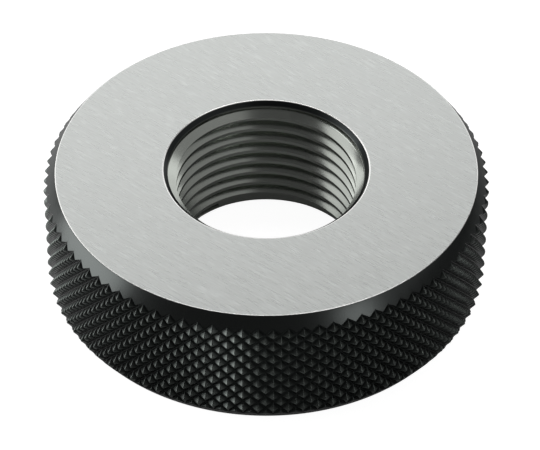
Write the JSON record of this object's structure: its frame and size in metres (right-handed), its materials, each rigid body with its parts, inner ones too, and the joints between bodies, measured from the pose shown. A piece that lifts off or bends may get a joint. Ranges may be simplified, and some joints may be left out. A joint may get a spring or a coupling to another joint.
{
  "type": "thread ring gauge",
  "caption": "Knurled steel ring with black chamfered rim, two ground faces and a chamfered threaded bore, for checking an external screw thread.",
  "frame": {"origin": "centre of the lower ground face, on the ring's axis", "axes": "+Z along the ring's axis, from the lower ground face to the upper one"},
  "size_m": [0.0454, 0.0454, 0.014],
  "materials": {
    "gauge_steel": "hardened tool steel: flat faces surface ground and bright, rim and outer chamfers black oxide, thread flanks lapped"
  },
  "bodies": {
    "root": {"ring_gauge": "gauge_steel"}
  },
  "joints": []
}
